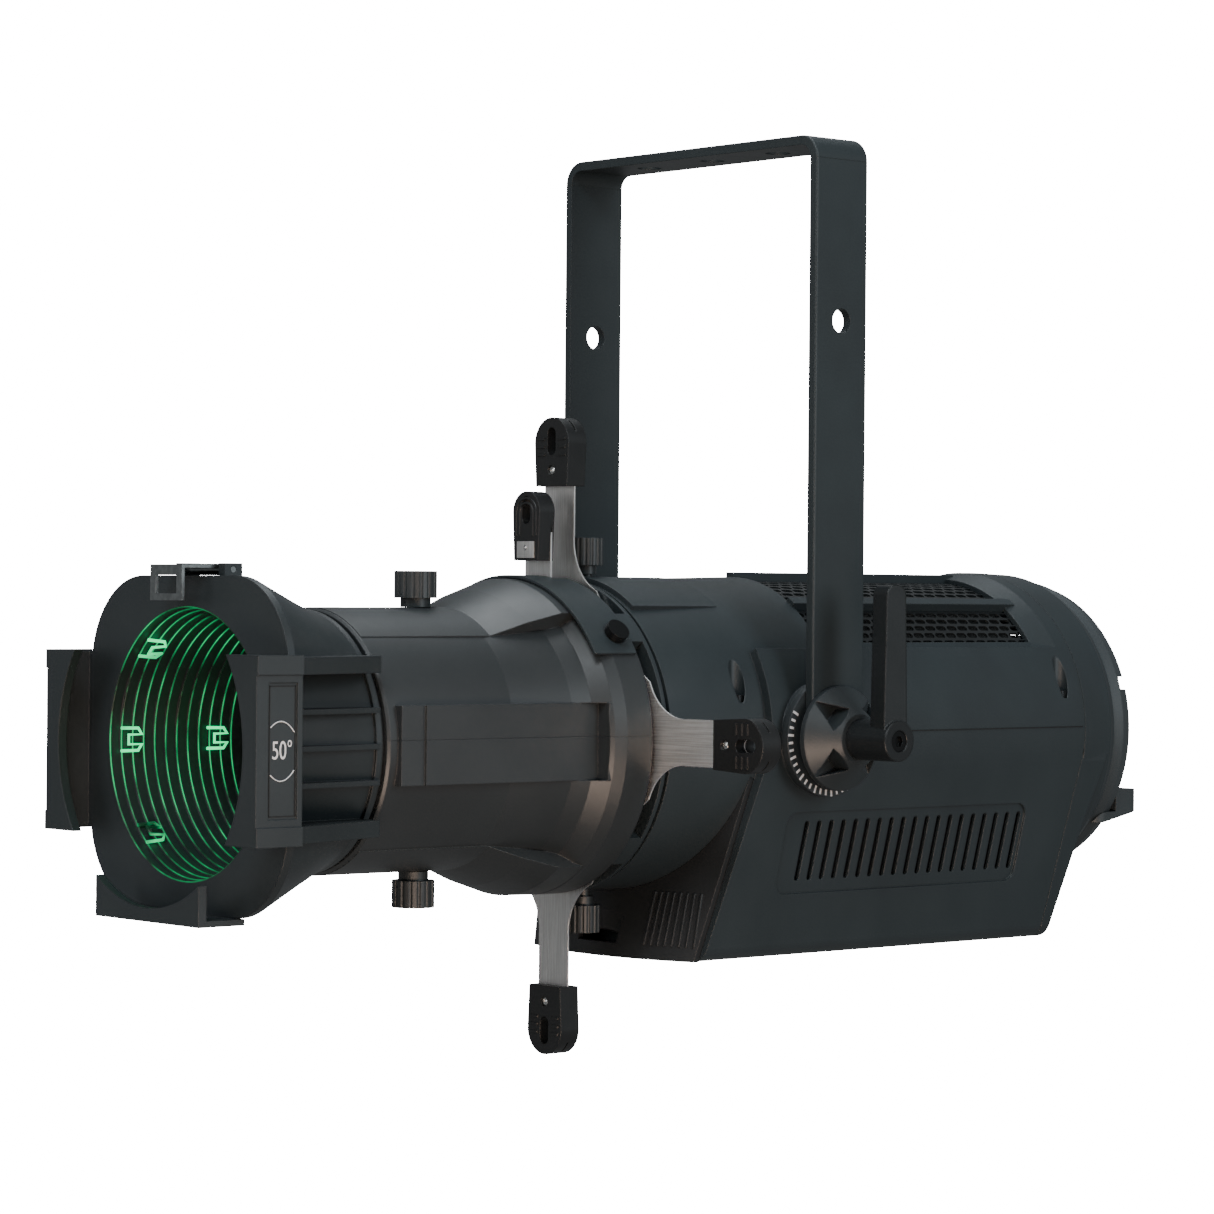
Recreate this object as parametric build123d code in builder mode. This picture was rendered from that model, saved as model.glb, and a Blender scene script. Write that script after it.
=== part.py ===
"""Profile spotlight with a yoke, an interchangeable lens tube, four shutters and a pattern slot.

Millimetres. The beam leaves towards -Y, +Z is up and +X is the side of the tilt lever. The
origin is the centre of the middle hole in the yoke's top face. Places along the beam are
measured from the tilt axis, which is the line Y = 0 at the height of the optical axis.
"""

import math
import os

from build123d import *

# ---------------------------------------------------------------- driving dimensions
AXIS_Z = -306.0             # optical axis and tilt axis, below the yoke's top face
GAP = 0.4                   # between faces that move past each other
RUNNING_GAP = 0.05          # radial clearance of a shaft in its hole

YOKE_WIDTH = 196.2
YOKE_BAR = 36.0             # width of the flat bar, along the beam
YOKE_THICKNESS = 5.0
YOKE_BEND_R = 12.0
HOOK_HOLE_R = 6.5
HOOK_HOLE_PITCH = 50.0
LEG_HOLE_R = 6.25
LEG_HOLE_Z = 212.0          # above the optical axis
STUD_R = 6.0                # tilt stud and pivot bolt

HOUSING_R = 86.0            # rear ring and side panels
ROOF_R = 82.0               # roof between the side panels
WALL = 3.0
SEAM_Z = 2.5                # the half shells meet this far above the optical axis
BOX_BOTTOM = -113.0         # underside of the driver box
DRUM_FRONT = -96.0
DRUM_R = 78.5
PANEL_FRONT = -34.0         # front edge of the side panels
BOX_FRONT_FOOT = -62.0      # the same edge at the underside of the box
HOUSING_REAR = 200.0        # seam between the housing and the rear cap
BOX_REAR_FOOT = 186.0       # the same seam at the underside of the box
SEAM_BEND_Z = -8.0          # below this height that seam leans forwards
PANEL_TOP_ANGLE = 58.0      # from the vertical, where the side panels begin
BOX_CORNER_R = 8.0
FLANK_LEAN = 11.0           # degrees that the sides of the driver box lean in

VENT_FRONT = 16.0
VENT_REAR = 176.0
VENT_ANGLE = 54.0
RAIL_ANGLES = (-34.0, 0.0, 34.0)
RAIL_R = 84.5
GRILLE_R = 78.8
LOUVRE_COUNT = 19
LOUVRE_PITCH = 8.77
LOUVRE_CENTRE = (76.4, -58.3)
LOUVRE_SLOPE = 86.0
LOUVRE_LENGTH = 31.0
LOUVRE_WIDTH = 3.2
SCREW_PLACES = ((74.0, -48.0), (80.0, 186.0))
SCREW_FLOOR_Z = 18.0

BARREL_FRONT = -262.0
BARREL_REAR = -109.5
BARREL_R = 64.5
BARREL_BORE_R = 61.5
SHOULDER_R = 80.0
SADDLE_ANGLE = 38.0         # half width of the top and bottom panels with the long flare
PAD_X = 67.0                # flat face of the side pads
PAD_HALF = 19.0
PAD_REAR = -134.0

TUBE_R = 61.0
TUBE_BORE_R = 57.5
TUBE_REAR = -150.0
PLATE_FRONT = -332.0
PLATE_WIDTH = 162.0
PLATE_HEIGHT = 159.0
PLATE_CORNER_R = 44.0
PLATE_THICKNESS = 4.0
FLARE_REAR = -265.0
FLARE_R = 64.0
OPENING_R = 65.0
BAFFLE_STEPS = 11
BAFFLE_PITCH = 6.0
BAFFLE_TAPER = 0.65         # radius lost at each step
BRACKET_X = 86.5            # outer face of the side brackets
BRACKET_FOOT_Z = -82.5      # outer face of the bottom bracket
BRACKET_HALF = 42.5
BRACKET_FRONT = -353.0
BRACKET_WALL = 3.6
LIP_R = 76.0                # round cut-out in the brackets' lips
FLARE_RIBS = (              # height, thickness and reach of the ribs in the flare's side pockets
    (-38.5, 8.0, BRACKET_X),
    (-17.0, 2.6, 77.0),
    (0.0, 2.6, 77.0),
    (17.0, 2.6, 77.0),
    (38.5, 8.0, BRACKET_X),
)
CLIP_HINGE = (-322.0, 82.4)
CLIP_X = 3.0                # middle of the clip

SHUTTER_PITCH = 1.6
SHUTTER_FRONT = -107.9      # plane of the foremost blade
BLADE_THICKNESS = 0.8
BLADE_WIDTH = 72.0
NECK_WIDTH = 23.0
GRIP_START_R = 127.0
GRIP_END_R = 162.0
GRIP_WIDTH = 26.5
GRIP_THICKNESS = 12.0
APERTURE_R = 38.0
POST_HALF_ANGLE = 7.0       # the four posts between the shutter slots

HOLDER_Y = -117.0           # plane of the pattern holder
HOLDER_WIDTH = 84.0
HOLDER_GRIP_Y = -120.5
COVER_R = 81.6
COVER_FRONT = -138.0
COVER_REAR = -111.0
COVER_ANGLE = 58.0
THUMB_ANGLE = 50.0
THUMB_Y = -120.0

SPIGOT_R = 72.0
FOCUS_KNOB_Y = -196.0
ROTATION_KNOB_Y = -85.0

LEVER_R = 10.2
LEVER_INNER_X = 114.5
LEVER_OUTER_X = 142.0
LEVER_LENGTH = 78.0
LEVER_LEAN = 6.0
HUB_R = 26.6
DISC_R = 30.0
BUSH_R = 11.0

CAP_REAR = 228.0
BEZEL_R = 82.0
BEZEL_REAR = 246.0
PANEL_Y = 238.0             # face of the rear control panel
BUTTON_XS = (-30.0, -10.0, 10.0, 30.0)
BUTTON_Z = 8.0
SOCKET_XS = (-45.0, -15.0, 15.0, 45.0)
SOCKET_Z = -16.0
SOCKET_R = 12.0

FAN_FRONT = 164.0
FAN_DEPTH = 20.0
FAN_R = 38.0
EYE_PLACE = (-45.0, 120.0)  # across and along the beam

os.makedirs("parts", exist_ok=True)

BEAM = Axis((0, 0, AXIS_Z), (0, 1, 0))
LEG_INNER_X = YOKE_WIDTH / 2 - YOKE_THICKNESS
LEG_OUTER_X = YOKE_WIDTH / 2


def across(y):
    """Plane square to the beam: local x is +X, local y is +Z, and it faces the front."""
    return Plane(origin=(0, y, AXIS_Z), x_dir=(1, 0, 0), z_dir=(0, -1, 0))


def level(height):
    """Horizontal plane at a height above the optical axis."""
    return Plane.XY.offset(AXIS_Z + height)


def side_at(x):
    """Plane square to X: local x is +Y from the tilt axis, local y is +Z from the beam."""
    return Plane(origin=(x, 0, AXIS_Z), x_dir=(0, 1, 0), z_dir=(1, 0, 0))


def radial_plane(angle, radius):
    """Plane that faces outwards at an angle from the vertical: local x is +Y."""
    turn = math.radians(angle)
    out = (math.sin(turn), 0, math.cos(turn))
    return Plane(
        origin=(radius * out[0], 0, AXIS_Z + radius * out[2]), x_dir=(0, 1, 0), z_dir=out
    )


def turned(*outline, start=0.0, arc=360.0, mode=Mode.ADD):
    """Turn a closed (y, radius) outline about the beam, from start degrees off the vertical."""
    turn = math.radians(start)
    half_plane = Plane(
        origin=(0, 0, AXIS_Z), x_dir=(0, 1, 0), z_dir=(math.cos(turn), 0, -math.sin(turn))
    )
    with BuildSketch(half_plane) as profile:
        with BuildLine():
            Polyline(*outline, close=True)
        make_face()
    revolve(profile.sketch, axis=BEAM, revolution_arc=arc, mode=mode)


def ring(front, rear, inner, outer, start=0.0, arc=360.0, mode=Mode.ADD):
    """Plain ring, or part of one, about the beam."""
    turned(
        (front, inner), (front, outer), (rear, outer), (rear, inner),
        start=start, arc=arc, mode=mode,
    )


def block(low, high, mode=Mode.ADD):
    """Box between two corners, with Z measured from the optical axis."""
    size = [b - a for a, b in zip(low, high)]
    middle = [(a + b) / 2 for a, b in zip(low, high)]
    with Locations((middle[0], middle[1], middle[2] + AXIS_Z)):
        Box(*size, mode=mode)


def side_block(side, low, high, mode=Mode.ADD):
    """Box given for the +X side, mirrored in X when side is -1."""
    xs = sorted((side * low[0], side * high[0]))
    block((xs[0], *low[1:]), (xs[1], *high[1:]), mode=mode)


def cylinder_x(radius, start, end, y=0.0, z=0.0, mode=Mode.ADD):
    """Cylinder along X from start to end."""
    with BuildSketch(side_at(start)) as profile:
        with Locations((y, z)):
            Circle(radius)
    extrude(profile.sketch, amount=end - start, mode=mode)


def cylinder_y(radius, front, rear, x=0.0, z=0.0, mode=Mode.ADD):
    """Cylinder along the beam from front to rear."""
    with BuildSketch(across(rear)) as profile:
        with Locations((x, z)):
            Circle(radius)
    extrude(profile.sketch, amount=rear - front, mode=mode)


def cylinder_z(radius, low, high, x=0.0, y=0.0, mode=Mode.ADD):
    """Upright cylinder between two heights."""
    with BuildSketch(level(low)) as profile:
        with Locations((x, y)):
            Circle(radius)
    extrude(profile.sketch, amount=high - low, mode=mode)


def save(builder, name):
    """Label a finished piece and write it under its own name."""
    builder.part.label = name
    export_step(builder.part, f"parts/{name}.step")

# ---------------------------------------------------------------- yoke and tilt clamp
with BuildPart() as yoke:
    with BuildSketch(across(YOKE_BAR / 2)):
        with BuildLine():
            FilletPolyline(
                (-LEG_OUTER_X, -YOKE_BAR / 2),
                (-LEG_OUTER_X, -AXIS_Z),
                (LEG_OUTER_X, -AXIS_Z),
                (LEG_OUTER_X, -YOKE_BAR / 2),
                radius=YOKE_BEND_R,
            )
            FilletPolyline(
                (-LEG_INNER_X, -YOKE_BAR / 2),
                (-LEG_INNER_X, -AXIS_Z - YOKE_THICKNESS),
                (LEG_INNER_X, -AXIS_Z - YOKE_THICKNESS),
                (LEG_INNER_X, -YOKE_BAR / 2),
                radius=YOKE_BEND_R - YOKE_THICKNESS,
            )
            Line((-LEG_OUTER_X, -YOKE_BAR / 2), (-LEG_INNER_X, -YOKE_BAR / 2))
            Line((LEG_OUTER_X, -YOKE_BAR / 2), (LEG_INNER_X, -YOKE_BAR / 2))
        make_face()
    extrude(amount=YOKE_BAR)
    with BuildSketch(side_at(0)):
        Circle(YOKE_BAR / 2)
        with Locations((0, -AXIS_Z / 2)):
            Rectangle(YOKE_BAR, -AXIS_Z)
    extrude(amount=YOKE_WIDTH, both=True, mode=Mode.INTERSECT)
    with BuildSketch(Plane.XY):
        with GridLocations(HOOK_HOLE_PITCH, 0, 3, 1):
            Circle(HOOK_HOLE_R)
    extrude(amount=-YOKE_THICKNESS * 2, mode=Mode.SUBTRACT)
    cylinder_x(LEG_HOLE_R, -YOKE_WIDTH, YOKE_WIDTH, z=LEG_HOLE_Z, mode=Mode.SUBTRACT)
    cylinder_x(STUD_R + RUNNING_GAP, -YOKE_WIDTH, YOKE_WIDTH, mode=Mode.SUBTRACT)
    fillet(yoke.edges().filter_by(Axis.X).filter_by(lambda e: e.center().Z > -1), 1.0)
    for x in (YOKE_BEND_R - LEG_OUTER_X, LEG_OUTER_X - YOKE_BEND_R):
        split(bisect_by=Plane.YZ.offset(x), keep=Keep.BOTH)
    split(bisect_by=Plane.XY.offset(-YOKE_BEND_R), keep=Keep.BOTH)
save(yoke, "yoke")

with BuildPart() as clamp_hub:
    hub_face = LEVER_INNER_X - GAP
    with BuildSketch(side_at(LEG_OUTER_X)):
        Circle(HUB_R)
    extrude(amount=3.0)
    with BuildSketch(side_at(LEG_OUTER_X + 3.0)):
        Circle(HUB_R)
    with BuildSketch(side_at(hub_face)):
        Circle(LEVER_R + 2.5)
    loft()
    with BuildSketch(side_at(LEG_OUTER_X + 3.0)):
        for quadrant in (45, 135, 225, 315):
            turn = math.radians(quadrant)
            with Locations((18.5 * math.cos(turn), 18.5 * math.sin(turn))):
                RegularPolygon(9.0, 3, rotation=quadrant)
    extrude(amount=hub_face - LEG_OUTER_X, mode=Mode.SUBTRACT)
    cylinder_x(STUD_R + RUNNING_GAP, LEG_OUTER_X - 1, LEVER_INNER_X, mode=Mode.SUBTRACT)
save(clamp_hub, "clamp_hub")

with BuildPart() as tilt_lever:
    cylinder_x(LEVER_R, LEVER_INNER_X, LEVER_OUTER_X)
    cylinder_x(STUD_R, 68.0, LEVER_INNER_X)
    with BuildSketch(side_at(LEVER_OUTER_X - 12.5).rotated((0, 0, -LEVER_LEAN))):
        with BuildLine():
            FilletPolyline(
                (-7.5, 0), (-6.0, LEVER_LENGTH), (6.0, LEVER_LENGTH), (7.5, 0), radius=5.0
            )
            Line((-7.5, 0), (7.5, 0))
        make_face()
    extrude(amount=11.0)
    cylinder_x(5.4, LEVER_OUTER_X - 3.0, LEVER_OUTER_X, mode=Mode.SUBTRACT)
save(tilt_lever, "tilt_lever")

with BuildPart() as lever_screw:
    cylinder_x(5.2, LEVER_OUTER_X - 3.0, LEVER_OUTER_X - 0.4)
    with BuildSketch(side_at(LEVER_OUTER_X)):
        RegularPolygon(2.9, 6)
    extrude(amount=-2.4, mode=Mode.SUBTRACT)
save(lever_screw, "lever_screw")

for side, name in ((1, "tilt_disc_right"), (-1, "tilt_disc_left")):
    with BuildPart() as tilt_disc:
        cylinder_x(DISC_R - 2, side * HOUSING_R, side * (HOUSING_R + 3))
        cylinder_x(DISC_R, side * (HOUSING_R + 3), side * (LEG_INNER_X - GAP))
        cylinder_x(STUD_R + RUNNING_GAP, side * 80, side * 100, mode=Mode.SUBTRACT)
    save(tilt_disc, name)

with BuildPart() as pivot_bushes:
    for side in (-1, 1):
        cylinder_x(BUSH_R, side * 66, side * HOUSING_R)
    cylinder_x(STUD_R + RUNNING_GAP, -100, 100, mode=Mode.SUBTRACT)
save(pivot_bushes, "pivot_bushes")

with BuildPart() as pivot_bolt:
    cylinder_x(STUD_R, -68.0, -(LEG_OUTER_X + GAP))
    cylinder_x(17.0, -(LEG_OUTER_X + GAP), -(LEG_OUTER_X + 3))
    with BuildSketch(side_at(-(LEG_OUTER_X + 3))):
        RegularPolygon(10.5, 6)
    extrude(amount=-8.0)
    chamfer(pivot_bolt.faces().sort_by(Axis.X)[0].edges(), 1.0)
save(pivot_bolt, "pivot_bolt")

# ---------------------------------------------------------------- housing
FLANK_TURN = math.radians(FLANK_LEAN)


def flank_reach(height, inset):
    """Half width of the driver box at a height below the tilt axis, drawn in by inset."""
    return (HOUSING_R - inset + height * math.sin(FLANK_TURN)) / math.cos(FLANK_TURN)


def driver_box(side_outline, inset):
    """Box between the leaning flanks, from its outline seen from the side."""
    top = (inset - HOUSING_R) * math.sin(FLANK_TURN)
    with BuildPart() as box:
        with BuildSketch(side_at(0)):
            with BuildLine():
                Polyline(*side_outline, close=True)
            make_face()
        extrude(amount=HOUSING_R, both=True)
        with BuildSketch(across(300)):
            with BuildLine():
                Polyline(
                    (flank_reach(top, inset), 0),
                    (flank_reach(top, inset), top),
                    (flank_reach(BOX_BOTTOM - 5, inset), BOX_BOTTOM - 5),
                    (-flank_reach(BOX_BOTTOM - 5, inset), BOX_BOTTOM - 5),
                    (-flank_reach(top, inset), top),
                    (-flank_reach(top, inset), 0),
                    close=True,
                )
            make_face()
        extrude(amount=500, mode=Mode.INTERSECT)
        if inset < BOX_CORNER_R:
            foot = box.edges().filter_by(Axis.Y).group_by(Axis.Z)[0]
            fillet(foot, BOX_CORNER_R - inset)
    return box.part


def housing_outline(inset, overrun):
    """Side outline of the driver box, drawn in by inset and carried on past its rear."""
    return (
        (PANEL_FRONT + inset, 0),
        (BOX_FRONT_FOOT + inset, BOX_BOTTOM + inset),
        (BOX_REAR_FOOT + overrun, BOX_BOTTOM + inset),
        (HOUSING_REAR + overrun, SEAM_BEND_Z),
        (HOUSING_REAR + overrun, 0),
    )


outer_box = driver_box(housing_outline(0, 0), 0)
inner_box = driver_box(housing_outline(WALL, 5), WALL)
cap_box = driver_box(
    (
        (HOUSING_REAR + 0.3, 0),
        (HOUSING_REAR + 0.3, SEAM_BEND_Z),
        (BOX_REAR_FOOT + 0.3, BOX_BOTTOM),
        (BOX_REAR_FOOT + 6, BOX_BOTTOM),
        (CAP_REAR - 20, -51),
        (CAP_REAR - 7, SEAM_BEND_Z),
        (CAP_REAR - 7, 0),
    ),
    0,
)
cap_hollow = driver_box(
    (
        (HOUSING_REAR - 3, 0),
        (BOX_REAR_FOOT - 3, BOX_BOTTOM + WALL),
        (BOX_REAR_FOOT + 3, BOX_BOTTOM + WALL),
        (CAP_REAR - 23, -51),
        (CAP_REAR - 12, SEAM_BEND_Z),
        (CAP_REAR - 12, 0),
    ),
    WALL,
)


def housing_solid(box, inset, overrun):
    """Form of the lamp housing, drawn in by inset and carried on past its rear by overrun."""
    rear = HOUSING_REAR + overrun
    add(box)
    front = DRUM_FRONT if inset == 0 else DRUM_FRONT + 4
    turned(
        (front, 0),
        (front, DRUM_R - inset),
        (PANEL_FRONT + 4, ROOF_R - 1 - inset),
        (VENT_FRONT, ROOF_R - inset),
        (VENT_REAR, ROOF_R - inset),
        (VENT_REAR + 14, HOUSING_R - inset),
        (rear, HOUSING_R - inset),
        (rear, 0),
    )


def side_panels():
    """Raised side panels of the upper shell, down to the widest line of the housing."""
    for start in (PANEL_TOP_ANGLE, -90.5 - FLANK_LEAN):
        ring(
            PANEL_FRONT, VENT_REAR + 14, ROOF_R - WALL, HOUSING_R,
            start=start, arc=90.5 + FLANK_LEAN - PANEL_TOP_ANGLE,
        )


with BuildPart() as housing_form:
    housing_solid(outer_box, 0, 0)
    side_panels()
    cylinder_x(DISC_R - 2, -HOUSING_R, HOUSING_R)
    ring(DRUM_FRONT + 2, PANEL_FRONT - 3, DRUM_R - 2, ROOF_R - 0.8, start=-35, arc=70)
    with BuildSketch(side_at(0)):
        with BuildLine():
            Polyline(
                (HOUSING_REAR, SEAM_BEND_Z),
                (BOX_REAR_FOOT, BOX_BOTTOM),
                (BOX_REAR_FOOT, BOX_BOTTOM - 9),
                (HOUSING_REAR + 9, BOX_BOTTOM - 9),
                (HOUSING_REAR + 9, SEAM_BEND_Z),
                close=True,
            )
        make_face()
    extrude(amount=HOUSING_R + 9, both=True, mode=Mode.SUBTRACT)

with BuildPart() as housing_core:
    housing_solid(inner_box, WALL, 5)
    for x, y in SCREW_PLACES:
        for side in (-1, 1):
            cylinder_z(7.5, SEAM_Z - 30, 70, x=side * x, y=y, mode=Mode.SUBTRACT)
    cylinder_y(SPIGOT_R + 1, DRUM_FRONT - 1, DRUM_FRONT + 6)

with BuildPart() as housing_shell:
    add(housing_form.part)
    add(housing_core.part, mode=Mode.SUBTRACT)
    cylinder_x(BUSH_R + 0.02, -100, 100, mode=Mode.SUBTRACT)
    cylinder_z(3.05, -120, 120, y=ROTATION_KNOB_Y, mode=Mode.SUBTRACT)

with BuildPart() as housing_upper:
    add(housing_shell.part)
    split(bisect_by=level(SEAM_Z), keep=Keep.TOP)
    ring(VENT_FRONT, VENT_REAR, 70, 100, start=-VENT_ANGLE, arc=2 * VENT_ANGLE, mode=Mode.SUBTRACT)
    for angle in RAIL_ANGLES:
        ring(VENT_FRONT - 1, VENT_REAR + 6, ROOF_R - WALL, RAIL_R, start=angle - 1.9, arc=3.8)
    for x, y in SCREW_PLACES:
        for side in (-1, 1):
            cylinder_z(4.2, SCREW_FLOOR_Z, 90, x=side * x, y=y, mode=Mode.SUBTRACT)
save(housing_upper, "housing_upper")

flank_plane = Plane(
    origin=(HOUSING_R / math.cos(FLANK_TURN), 0, AXIS_Z),
    x_dir=(0, 1, 0),
    z_dir=(math.cos(FLANK_TURN), 0, -math.sin(FLANK_TURN)),
)

with BuildPart() as louvre_recess:
    with BuildSketch(flank_plane):
        with BuildLine():
            FilletPolyline(
                (-17, -39), (161, -39), (158, -82), (-19, -82), (-17, -39),
                radius=7, close=True,
            )
        make_face()
    extrude(amount=-1.2)
    mirror(about=Plane.YZ)

with BuildPart() as housing_lower:
    add(housing_shell.part)
    split(bisect_by=level(SEAM_Z), keep=Keep.BOTTOM)
    add(louvre_recess.part, mode=Mode.SUBTRACT)
    with BuildSketch(side_at(0)):
        with Locations(LOUVRE_CENTRE):
            with GridLocations(LOUVRE_PITCH, 0, LOUVRE_COUNT, 1):
                SlotOverall(LOUVRE_LENGTH, LOUVRE_WIDTH, rotation=LOUVRE_SLOPE)
    extrude(amount=HOUSING_R + 1, both=True, mode=Mode.SUBTRACT)
save(housing_lower, "housing_lower")

for side, name in ((1, "vent_grille_right"), (-1, "vent_grille_left")):
    with BuildPart() as vent_grille:
        start = 0.2 if side > 0 else -VENT_ANGLE - 2
        ring(
            VENT_FRONT - 6, VENT_REAR + 4, GRILLE_R - 1.5, GRILLE_R,
            start=start, arc=VENT_ANGLE + 1.8,
        )
        for row in range(7):
            angle = side * (6.0 + row * 7.0)
            with BuildSketch(radial_plane(angle, GRILLE_R - 6)):
                with Locations(((VENT_FRONT + VENT_REAR) / 2 + 2 * (row % 2), 0)):
                    with GridLocations(19.0, 0, 8, 1):
                        SlotOverall(15.0, 5.0)
            extrude(amount=12, mode=Mode.SUBTRACT)
    save(vent_grille, name)


def bezel_bulge(inset):
    """Solid whose front is the bowed, leaning face of the driver box, drawn in by inset."""
    lean = (PANEL_FRONT - BOX_FRONT_FOOT) / -BOX_BOTTOM
    with BuildPart() as bulge:
        for height, swell in ((BOX_BOTTOM + inset, 17.0), (0.0, 6.0)):
            rear = PANEL_FRONT + lean * height + inset / 4
            reach = flank_reach(min(height, -16.0), WALL + inset)
            flank = rear - 3.5 + inset * 0.75
            crown = rear - swell + inset * 0.75
            with BuildSketch(level(height)):
                with BuildLine():
                    ThreePointArc((-reach, flank), (0, crown), (reach, flank))
                    Polyline((reach, flank), (reach, rear), (-reach, rear), (-reach, flank))
                make_face()
        loft()
    return bulge.part


bezel_outer = bezel_bulge(0)
bezel_inner = bezel_bulge(4.0)

with BuildPart() as front_bezel:
    add(bezel_outer)
    add(bezel_inner, mode=Mode.SUBTRACT)
    cylinder_y(DRUM_R + 1.0, -200, 100, mode=Mode.SUBTRACT)
    block((-15, -140, -106), (15, ROTATION_KNOB_Y + 14, -60), mode=Mode.SUBTRACT)
    block((-90, -140, SEAM_Z - 14), (90, 0, 10), mode=Mode.SUBTRACT)
    add(housing_lower.part, mode=Mode.SUBTRACT)
save(front_bezel, "front_bezel")

with BuildPart() as rear_cap:
    add(cap_box)
    turned(
        (HOUSING_REAR + 0.3, 0),
        (HOUSING_REAR + 0.3, HOUSING_R),
        (CAP_REAR - 6, HOUSING_R - 0.8),
        (CAP_REAR - 1, HOUSING_R - 3),
        (CAP_REAR, HOUSING_R - 6),
        (CAP_REAR, 0),
    )
    cylinder_y(BEZEL_R - 9, HOUSING_REAR - 60, CAP_REAR + 1, mode=Mode.SUBTRACT)
    add(cap_hollow, mode=Mode.SUBTRACT)
save(rear_cap, "rear_cap")

with BuildPart() as rear_bezel:
    turned(
        (CAP_REAR + 0.2, BEZEL_R - 14),
        (CAP_REAR + 0.2, BEZEL_R - 2),
        (CAP_REAR + 8, BEZEL_R),
        (BEZEL_REAR - 3, BEZEL_R - 2),
        (BEZEL_REAR, BEZEL_R - 6),
        (BEZEL_REAR, BEZEL_R - 14),
    )
    ring(PANEL_Y - 3, PANEL_Y, 0, BEZEL_R - 13)
    for side in (-1, 1):
        block((side * 78 - 9, BEZEL_REAR - 9, 22), (side * 78 + 9, 260, 29), mode=Mode.SUBTRACT)
    with BuildSketch(across(PANEL_Y + 1)):
        with Locations((0, 38)):
            Rectangle(58, 26)
        with Locations(*[(x, BUTTON_Z) for x in BUTTON_XS]):
            Circle(4.6)
        with Locations(*[(x, SOCKET_Z) for x in SOCKET_XS]):
            Circle(SOCKET_R + 0.1)
    extrude(amount=6, mode=Mode.SUBTRACT)
save(rear_bezel, "rear_bezel")

with BuildPart() as display_window:
    block((-28.9, PANEL_Y - 3, 25.1), (28.9, PANEL_Y - 0.5, 50.9))
save(display_window, "display_window")

for number, x in enumerate(BUTTON_XS, start=1):
    with BuildPart() as menu_button:
        cylinder_y(4.2, PANEL_Y - 6, PANEL_Y + 2.5, x=x, z=BUTTON_Z)
        cylinder_y(5.6, PANEL_Y - 6, PANEL_Y - 4, x=x, z=BUTTON_Z)
        fillet(menu_button.faces().sort_by(Axis.Y)[-1].edges(), 0.6)
    save(menu_button, f"menu_button_{number}")

with BuildPart() as data_sockets:
    for x in SOCKET_XS[:2]:
        cylinder_y(SOCKET_R, PANEL_Y - 18, PANEL_Y + 1.5, x=x, z=SOCKET_Z)
        cylinder_y(SOCKET_R - 2.5, PANEL_Y - 10, PANEL_Y + 2, x=x, z=SOCKET_Z, mode=Mode.SUBTRACT)
        with BuildSketch(across(PANEL_Y - 10)):
            with Locations((x, SOCKET_Z)):
                with PolarLocations(4.8, 5):
                    Circle(1.1)
        extrude(amount=-5)
save(data_sockets, "data_sockets")

with BuildPart() as power_sockets:
    for x in SOCKET_XS[2:]:
        cylinder_y(SOCKET_R, PANEL_Y - 18, PANEL_Y + 1.5, x=x, z=SOCKET_Z)
        cylinder_y(SOCKET_R - 2.0, PANEL_Y - 12, PANEL_Y + 2, x=x, z=SOCKET_Z, mode=Mode.SUBTRACT)
        cylinder_y(5.5, PANEL_Y - 12, PANEL_Y - 6, x=x, z=SOCKET_Z)
save(power_sockets, "power_sockets")

with BuildPart() as rear_handle:
    with BuildSketch(level(-52)):
        with Locations((0, 248)):
            RectangleRounded(136, 38, 9)
    extrude(amount=18)
    block((-56, 236, -60), (56, 256, -20), mode=Mode.SUBTRACT)
    with BuildSketch(side_at(0)):
        with BuildLine():
            Polyline((226, -54), (270, -54), (270, -45), close=True)
        make_face()
    extrude(amount=80, both=True, mode=Mode.SUBTRACT)
    cylinder_y(BEZEL_R + 0.1, CAP_REAR - 40, BEZEL_REAR + 0.1, mode=Mode.SUBTRACT)
    block((-100, 200, -80), (100, CAP_REAR - 19, 0), mode=Mode.SUBTRACT)
save(rear_handle, "rear_handle")

with BuildPart() as safety_eye:
    eye_x, eye_y = EYE_PLACE
    block((eye_x - 11, eye_y - 6, BOX_BOTTOM - 2), (eye_x + 11, eye_y + 6, BOX_BOTTOM))
    block((eye_x - 8, eye_y - 2, BOX_BOTTOM - 12.5), (eye_x + 8, eye_y + 2, BOX_BOTTOM - 2))
    with BuildSketch(across(eye_y + 3)):
        with Locations((eye_x, BOX_BOTTOM - 7)):
            Circle(3.8)
    extrude(amount=6, mode=Mode.SUBTRACT)
save(safety_eye, "safety_eye")

with BuildPart() as housing_screws:
    for x, y in SCREW_PLACES:
        for side in (-1, 1):
            cylinder_z(3.6, SCREW_FLOOR_Z, SCREW_FLOOR_Z + 4, x=side * x, y=y)
            with BuildSketch(level(SCREW_FLOOR_Z + 4)):
                with Locations((side * x, y)):
                    RegularPolygon(2.0, 6)
            extrude(amount=-2.5, mode=Mode.SUBTRACT)
save(housing_screws, "housing_screws")

with BuildPart() as heat_sink:
    block((-48, 38, -48), (48, 46, 48))
    with Locations((0, 98, AXIS_Z)):
        with GridLocations(8.0, 0, 12, 1):
            Box(2.4, 104, 96)
save(heat_sink, "heat_sink")

with BuildPart() as led_module:
    cylinder_y(30, 33, 38)
    cylinder_y(17, 31.5, 33)
save(led_module, "led_module")

with BuildPart() as light_tunnel:
    turned((-70, 46), (-70, 50), (31, 36), (31, 32))
    ring(-72, -68, 46, 70)
save(light_tunnel, "light_tunnel")

with BuildPart() as condenser_lens:
    turned((-58, 0), (-58, 42), (-55, 43), (-50, 42.5), (-45, 30), (-42.5, 15), (-42, 0))
save(condenser_lens, "condenser_lens")

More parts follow.
